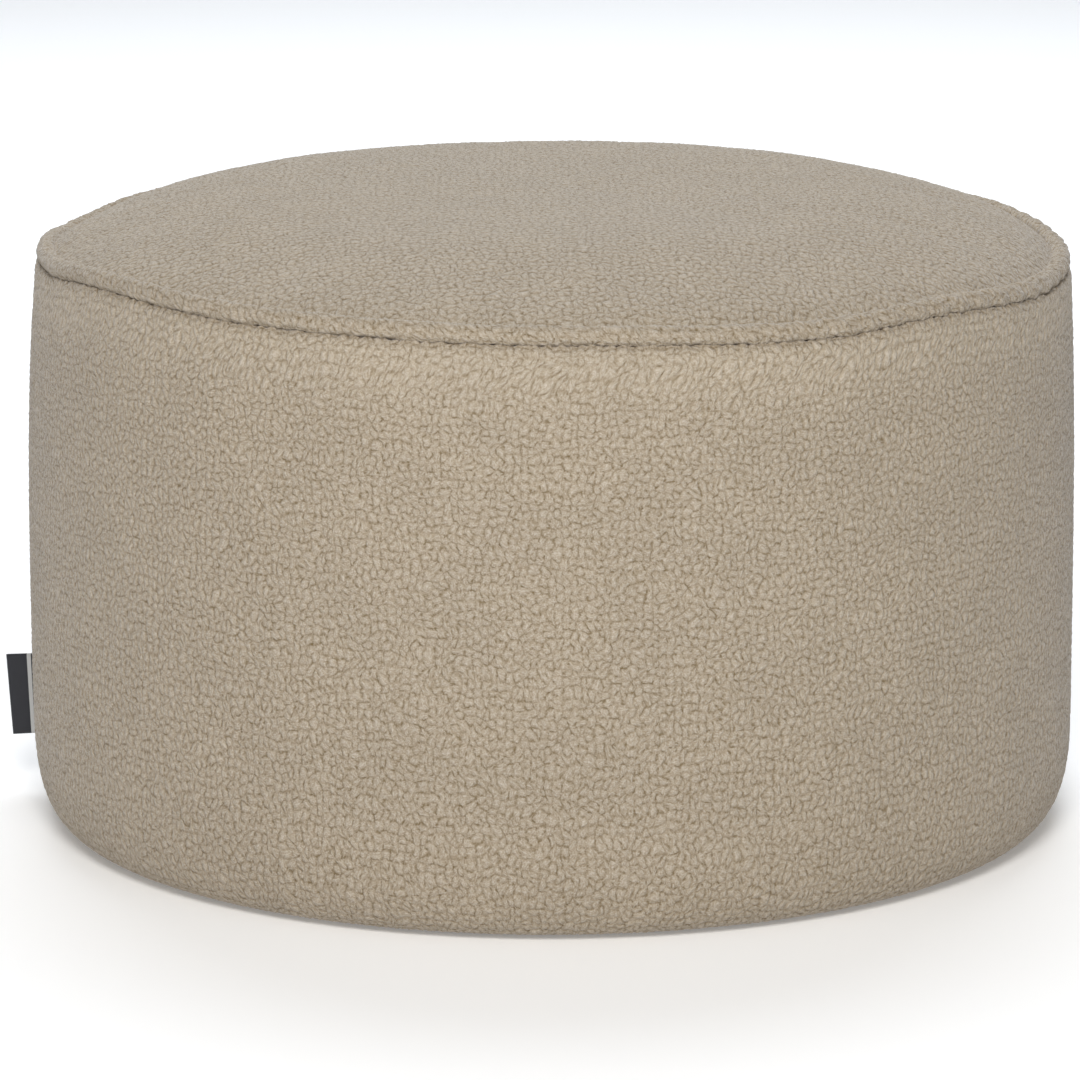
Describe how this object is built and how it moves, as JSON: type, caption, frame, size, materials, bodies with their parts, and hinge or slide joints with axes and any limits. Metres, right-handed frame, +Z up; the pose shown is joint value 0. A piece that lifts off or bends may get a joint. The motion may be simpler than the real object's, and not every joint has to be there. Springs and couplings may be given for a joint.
{
  "type": "bean bag footstool",
  "caption": "Round filled footstool in pile fleece with a crowned top, a welted edge, upright sides and a small folded label, resting on its flat base.",
  "frame": {"origin": "middle of the base disc, on the floor", "axes": "+Z up, -Y towards the front, -X towards the label in the upright seam"},
  "size_m": [0.6221, 0.6, 0.3665],
  "materials": {
    "pile_fleece": "short curled pile, matt, sand beige, with darker gaps between the clumps",
    "base_cloth": "plain woven base cloth, matt, brown grey",
    "label_ribbon": "tightly woven dark label ribbon, slight sheen, with one plain pale stripe"
  },
  "bodies": {
    "root": {"top_panel": "pile_fleece", "top_welt": "pile_fleece", "side_panel": "pile_fleece", "base_panel": "base_cloth", "side_label": "label_ribbon"}
  },
  "joints": []
}
